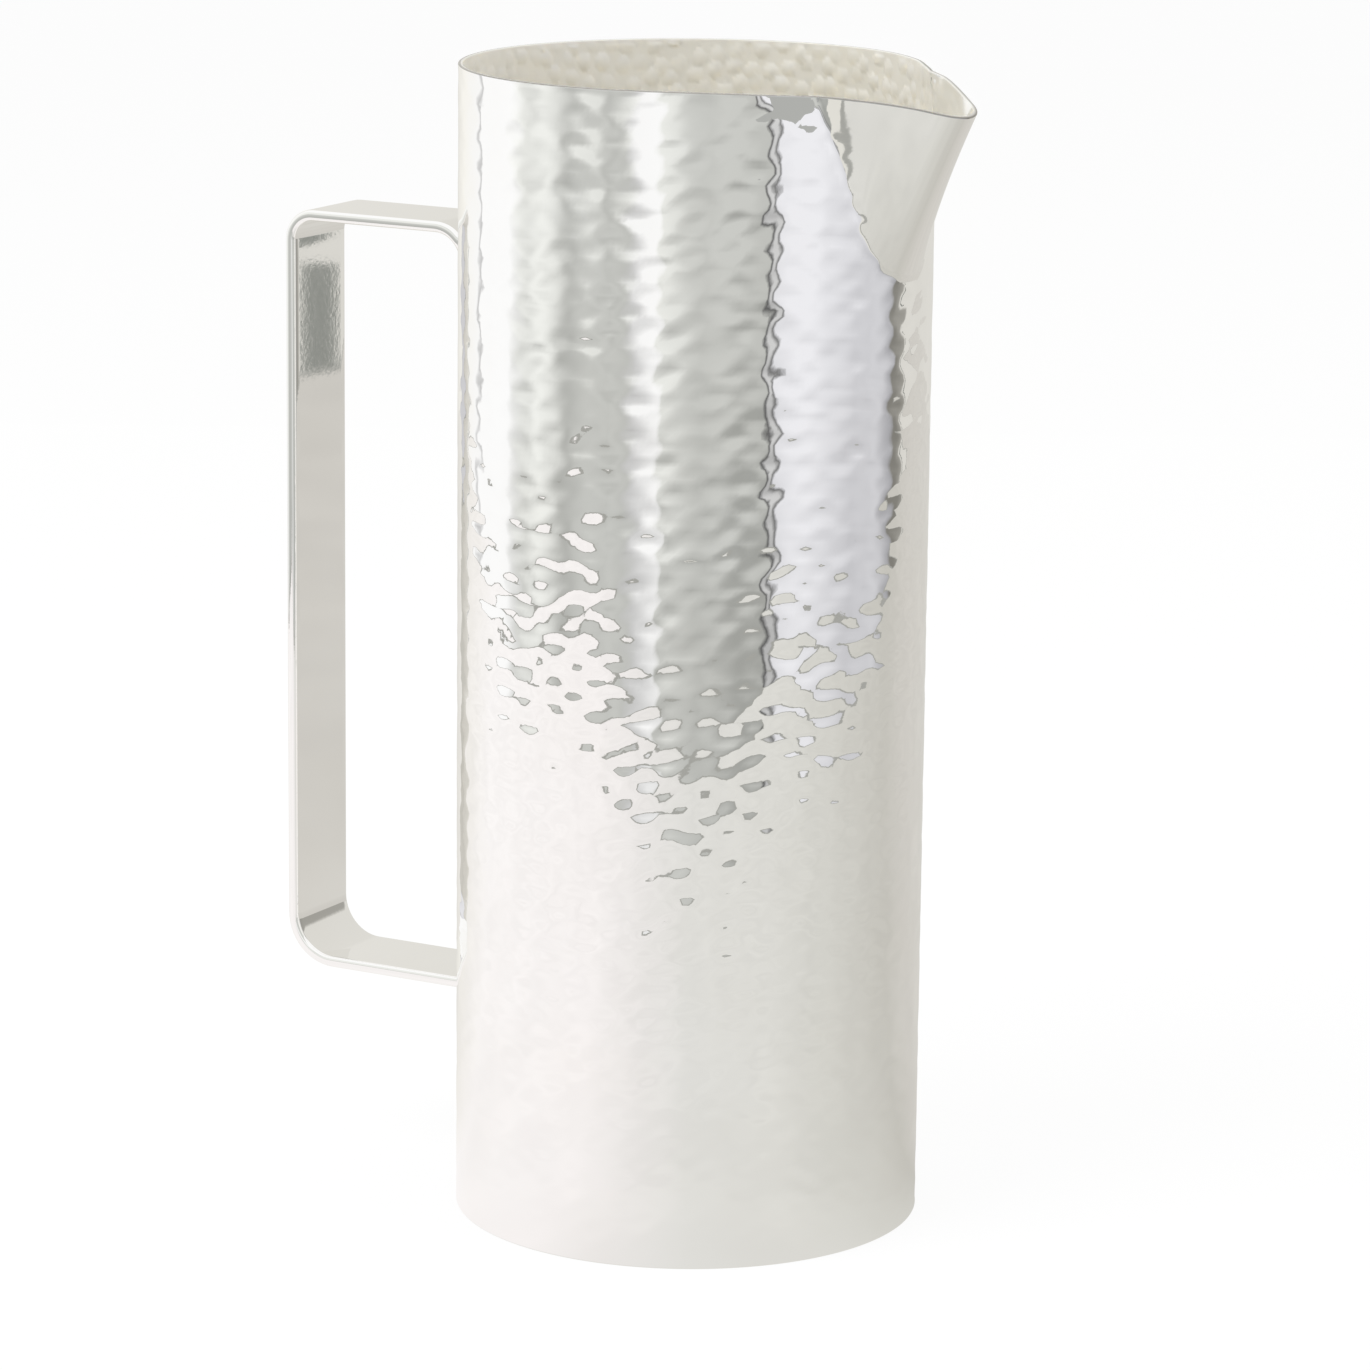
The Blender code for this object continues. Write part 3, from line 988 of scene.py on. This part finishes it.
def bearing_ramp(nodes, links, tones):
    """A ramp of colours by the bearing from the camera's side, for an object that faces the camera."""
    place = nodes.new("ShaderNodeTexCoord")
    bearing = nodes.new("ShaderNodeTexGradient")
    bearing.gradient_type = "RADIAL"
    links.new(place.outputs["Object"], bearing.inputs["Vector"])
    ramp = nodes.new("ShaderNodeValToRGB")
    stops = ramp.color_ramp.elements
    while len(stops) < len(tones):
        stops.new(0.5)
    for stop, (turn, tone) in zip(stops, tones):
        stop.position = turn / 360 + 0.5
        stop.color = linear(tone)
    links.new(bearing.outputs["Fac"], ramp.inputs["Fac"])
    return ramp.outputs["Color"]


def stage_object(name, form):
    """A stage object of that form, turned so that its own +X points to the camera's side."""
    mesh = bpy.data.meshes.new(name)
    form.to_mesh(mesh)
    form.free()
    made = add_piece(name, mesh)
    made.rotation_euler.z = CAMERA_AZIMUTH
    material = bpy.data.materials.new(name)
    material.use_nodes = True
    mesh.materials.append(material)
    return made, material.node_tree.nodes, material.node_tree.links


def mirrored_object(name, form):
    """A stage object that only reflections see."""
    made, nodes, links = stage_object(name, form)
    made.visible_camera = False
    made.visible_diffuse = False
    made.visible_shadow = False
    return nodes, links


def shine_with(nodes, links, colour):
    """Makes the object shine with a colour, or with what a socket gives."""
    nodes.remove(nodes["Principled BSDF"])
    shine = nodes.new("ShaderNodeEmission")
    if isinstance(colour, tuple):
        shine.inputs["Color"].default_value = linear(colour)
    else:
        links.new(colour, shine.inputs["Color"])
    links.new(shine.outputs["Emission"], nodes["Material Output"].inputs["Surface"])
    return shine


def level_disc(radius, level, steps):
    """A flat round form at that height."""
    form = bmesh.new()
    raised = Matrix.Translation((0, 0, level))
    bmesh.ops.create_circle(form, cap_ends=True, segments=steps, radius=radius, matrix=raised)
    return form


def wall_shade(nodes, links):
    """How far up the walls a place is, from their shaded foot, with slow swings."""
    place = nodes.new("ShaderNodeTexCoord").outputs["Object"]
    stretch = nodes.new("ShaderNodeMapping")
    stretch.inputs["Location"].default_value = (0, 0, SHADE_SHIFT)
    stretch.inputs["Scale"].default_value = (1, 1, SHADE_STRETCH)
    links.new(place, stretch.inputs["Vector"])
    swing = nodes.new("ShaderNodeMath")
    swing.operation = "MULTIPLY_ADD"
    swing.inputs[1].default_value = SHADE_SWING
    swing.inputs[2].default_value = -SHADE_SWING / 2
    links.new(noise(nodes, links, stretch.outputs["Vector"], SHADE_SCALE, SHADE_DETAIL), swing.inputs[0])
    parts = nodes.new("ShaderNodeSeparateXYZ")
    links.new(place, parts.inputs["Vector"])
    climb = nodes.new("ShaderNodeMapRange")
    climb.clamp = False
    climb.inputs["From Min"].default_value = SHADE_FROM
    climb.inputs["From Max"].default_value = SHADE_TO
    links.new(parts.outputs["Z"], climb.inputs["Value"])
    share = nodes.new("ShaderNodeMath")
    share.use_clamp = True
    links.new(climb.outputs["Result"], share.inputs[0])
    links.new(swing.outputs["Value"], share.inputs[1])
    return share.outputs["Value"]


def make_surround():
    """The studio's walls, round the table."""
    form = bmesh.new()
    bmesh.ops.create_cone(
        form,
        segments=SURROUND_STEPS,
        radius1=SURROUND_DISTANCE,
        radius2=SURROUND_DISTANCE,
        depth=SURROUND_HIGH - ROOM_FLOOR,
        matrix=Matrix.Translation((0, 0, (SURROUND_HIGH + ROOM_FLOOR) / 2)),
    )
    nodes, links = mirrored_object("surround", form)
    upper = bearing_ramp(nodes, links, [(turn, high) for turn, high, low in STUDIO])
    lower = bearing_ramp(nodes, links, [(turn, low) for turn, high, low in STUDIO])
    shine_with(nodes, links, colour_mix(nodes, links, wall_shade(nodes, links), lower, upper))


def make_room_floor():
    """The room's pale floor, below the table."""
    form = level_disc(SURROUND_DISTANCE, ROOM_FLOOR, SURROUND_STEPS // 2)
    nodes, links = mirrored_object("room_floor", form)
    shine_with(nodes, links, ROOM_FLOOR_TONE)


def make_card(name, bearings, levels, tone):
    """A card in the room, between two bearings and two heights."""
    form = bmesh.new()
    for turn, level in zip(bearings + bearings[::-1], sorted(levels * 2)):
        bearing = math.radians(turn)
        form.verts.new((CARD_DISTANCE * math.cos(bearing), CARD_DISTANCE * math.sin(bearing), level))
    form.faces.new(form.verts)
    nodes, links = mirrored_object(name, form)
    shine_with(nodes, links, tone)


def make_overhead():
    """A wide soft box above, which lights the inside."""
    nodes, links = mirrored_object("overhead", level_disc(OVERHEAD_REACH, OVERHEAD_LEVEL, DISC_STEPS))
    shine_with(nodes, links, OVERHEAD_TONE)


def make_table():
    """The white table's top, as the silver mirrors it, with painted light and shade by bearing, and a
    little uneven as cloth is.
    """
    form = bmesh.new()
    form.faces.new([form.verts.new((ahead, aside, TABLE_LEVEL)) for ahead, aside in TABLE_CORNERS])
    nodes, links = mirrored_object("table", form)
    # Painted light and shade: the table top is lighter to the left and darker to the right and behind
    shine = shine_with(nodes, links, bearing_ramp(nodes, links, TABLE_LIGHT_AND_SHADE))
    place = nodes.new("ShaderNodeTexCoord").outputs["Object"]
    cloth = noise(nodes, links, place, CLOTH_SCALE, CLOTH_DETAIL)
    links.new(between(nodes, links, cloth, CLOTH_LIGHT), shine.inputs["Strength"])


def make_table_edge():
    """The table's darker edge, on three sides."""
    form = bmesh.new()
    rings = []
    for shares in ((1, 1, 1, 1), BORDER_SHARES):
        spots = [(ahead * s, aside * s, BORDER_LEVEL) for (ahead, aside), s in zip(TABLE_CORNERS, shares)]
        rings.append([form.verts.new(spot) for spot in spots])
    for i, j in BORDER_SIDES:
        form.faces.new((rings[0][i], rings[0][j], rings[1][j], rings[1][i]))
    bmesh.ops.remove_doubles(form, verts=form.verts, dist=NUDGE)
    nodes, links = mirrored_object("table_edge", form)
    shine_with(nodes, links, BORDER_TONE)


def make_floor():
    """A white ground, which stays white to the camera and keeps the pitcher's shadow."""
    made, nodes, links = stage_object("floor", level_disc(FLOOR_REACH, 0, DISC_STEPS))
    made.visible_glossy = False
    shader = nodes["Principled BSDF"]
    shader.inputs["Base Color"].default_value = FLOOR_COLOUR
    shader.inputs["Roughness"].default_value = FLOOR_ROUGHNESS
    seen = nodes.new("ShaderNodeLightPath")
    share = nodes.new("ShaderNodeMath")
    share.operation = "MULTIPLY"
    share.inputs[1].default_value = FLOOR_WHITE_SHARE
    links.new(seen.outputs["Is Camera Ray"], share.inputs[0])
    white = nodes.new("ShaderNodeEmission")
    mix = nodes.new("ShaderNodeMixShader")
    links.new(share.outputs["Value"], mix.inputs["Fac"])
    links.new(shader.outputs["BSDF"], mix.inputs[1])
    links.new(white.outputs["Emission"], mix.inputs[2])
    links.new(mix.outputs["Shader"], nodes["Material Output"].inputs["Surface"])


def make_world():
    """Soft white light all round, and a white background."""
    world = bpy.data.worlds.new("studio")
    bpy.context.scene.world = world
    world.use_nodes = True
    nodes = world.node_tree.nodes
    links = world.node_tree.links
    back = nodes["Background"]
    back.inputs["Color"].default_value = (1, 1, 1, 1)
    seen = nodes.new("ShaderNodeLightPath")
    either = nodes.new("ShaderNodeMath")
    either.operation = "MAXIMUM"
    links.new(seen.outputs["Is Camera Ray"], either.inputs[0])
    links.new(seen.outputs["Is Glossy Ray"], either.inputs[1])
    level = between(nodes, links, either.outputs["Value"], (WORLD_LIGHT, WORLD_WHITE))
    links.new(level, back.inputs["Strength"])


def make_lamp(name, azimuth, distance, height, size, power):
    """A soft square lamp that faces the pitcher."""
    light = bpy.data.lights.new(name, "AREA")
    light.size = size
    light.energy = power
    lamp = bpy.data.objects.new(name, light)
    lamp.location = toward(azimuth) * distance + Vector((0, 0, height))
    target = Vector((0, 0, BODY_HEIGHT / 2))
    lamp.rotation_euler = (target - lamp.location).to_track_quat("-Z", "Y").to_euler()
    lamp.visible_glossy = False
    bpy.context.scene.collection.objects.link(lamp)


def make_stage():
    """The table, the studio that the silver mirrors, and the light."""
    make_world()
    make_floor()
    make_table()
    make_table_edge()
    make_surround()
    make_room_floor()
    make_card("dark_card", bearings=(120.03, 120.64), levels=(-0.22, -0.122), tone=(140, 142, 137))
    make_card("blind", bearings=(28, 78), levels=(0.2, 0.9), tone=(176, 177, 174))
    make_overhead()
    make_lamp("key", azimuth=-55, distance=1.3, height=1.5, size=1.2, power=18)
    make_lamp("fill", azimuth=70, distance=1.5, height=1.2, size=1.2, power=8)


def main():
    """The pitcher on its stage, with each solid dressed by its own piece."""
    scene = bpy.context.scene
    scene.view_settings.view_transform = "Standard"
    scene.cycles.max_bounces = MIRROR_BOUNCES
    scene.cycles.glossy_bounces = MIRROR_BOUNCES
    make_camera()
    make_stage()
    pieces = (
        (make_wall(), "body_wall", "hammered_silver", hammered_silver()),
        (make_spout(), "spout", "smooth_silver", smooth_silver()),
        (make_base(), "base_disc", "base_silver", base_silver()),
        (make_handle(), "handle", "polished_strap", polished_strap()),
    )
    for piece, node, slot, finish in pieces:
        piece.data.materials.append(finish)
        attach(piece, "root")
        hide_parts(node)


main()
